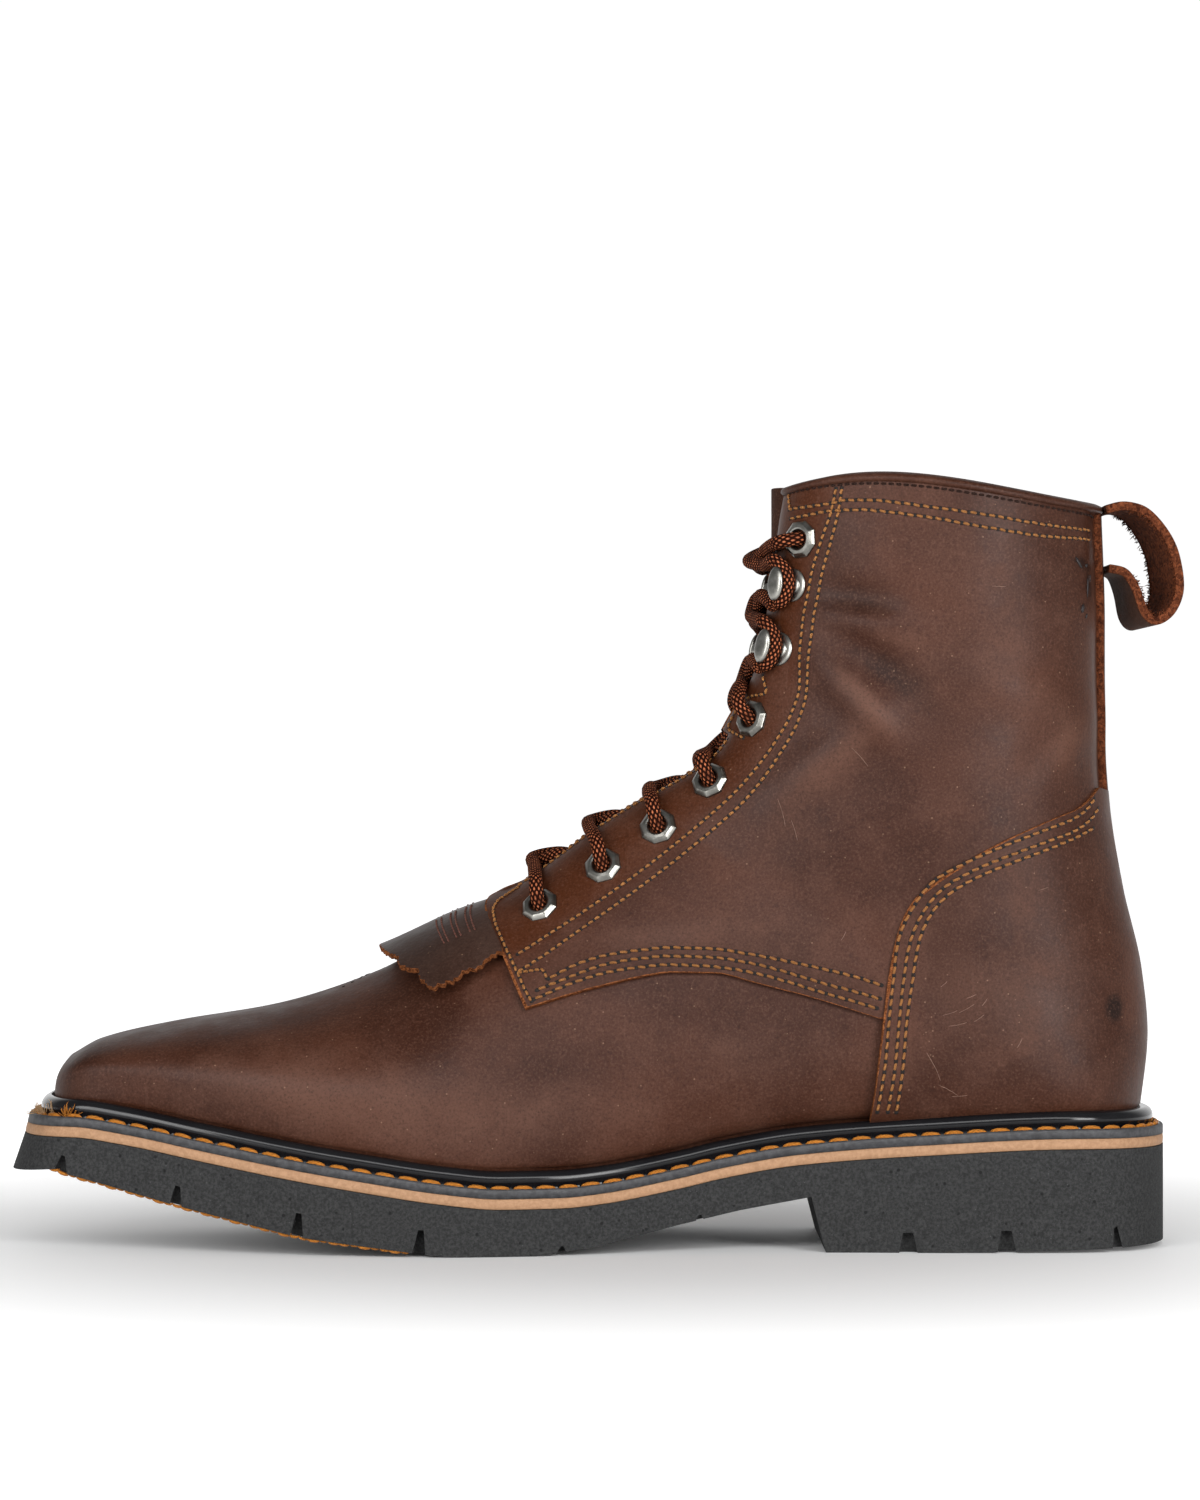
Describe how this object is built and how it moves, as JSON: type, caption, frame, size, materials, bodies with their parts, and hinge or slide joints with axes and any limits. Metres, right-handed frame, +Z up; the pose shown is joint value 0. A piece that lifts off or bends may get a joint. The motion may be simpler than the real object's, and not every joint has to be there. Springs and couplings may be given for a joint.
{
  "type": "kiltie work boot",
  "caption": "Lace-up leather work boot with a square toe, fringed kiltie, storm welt, lug sole with heel block and a pull loop at the back.",
  "frame": {"origin": "on the floor under the middle of the boot's bounding box", "axes": "+X from toe to heel, +Y from the medial to the lateral side, +Z up"},
  "size_m": [0.3146, 0.1062, 0.2063],
  "materials": {
    "black_rubber": "matt black-grey rubber with fine specks",
    "tan_rubber": "matt tan midsole layer",
    "welt_black": "black welt, dressed to a soft gloss on the bead",
    "insole_board": "plain tan board",
    "brown_leather": "oiled brown leather with lighter pull-up marks",
    "dark_leather": "greyer brown oiled leather",
    "nickel": "antique nickel",
    "lace_braid": "round braid, dark brown with copper flecks"
  },
  "bodies": {
    "root": {"outsole": "black_rubber", "midsole": "tan_rubber", "welt": "welt_black", "insole": "insole_board", "upper": "brown_leather", "quarter_medial": "brown_leather", "quarter_lateral": "brown_leather", "counter": "brown_leather", "collar_band": "brown_leather", "back_strip": "brown_leather", "pull_loop": "brown_leather", "tongue": "dark_leather", "kiltie": "dark_leather", "eyelet_lateral_1": "nickel", "eyelet_lateral_2": "nickel", "eyelet_lateral_3": "nickel", "eyelet_lateral_4": "nickel", "eyelet_lateral_5": "nickel", "hook_lateral_6": "nickel", "hook_lateral_7": "nickel", "eyelet_lateral_8": "nickel", "eyelet_medial_1": "nickel", "eyelet_medial_2": "nickel", "eyelet_medial_3": "nickel", "eyelet_medial_4": "nickel", "eyelet_medial_5": "nickel", "hook_medial_6": "nickel", "hook_medial_7": "nickel", "eyelet_medial_8": "nickel", "lace_cross_1": "lace_braid", "lace_cross_2": "lace_braid", "lace_cross_3": "lace_braid", "lace_cross_4": "lace_braid", "lace_cross_5": "lace_braid", "lace_cross_6": "lace_braid", "lace_cross_7": "lace_braid"}
  },
  "joints": []
}
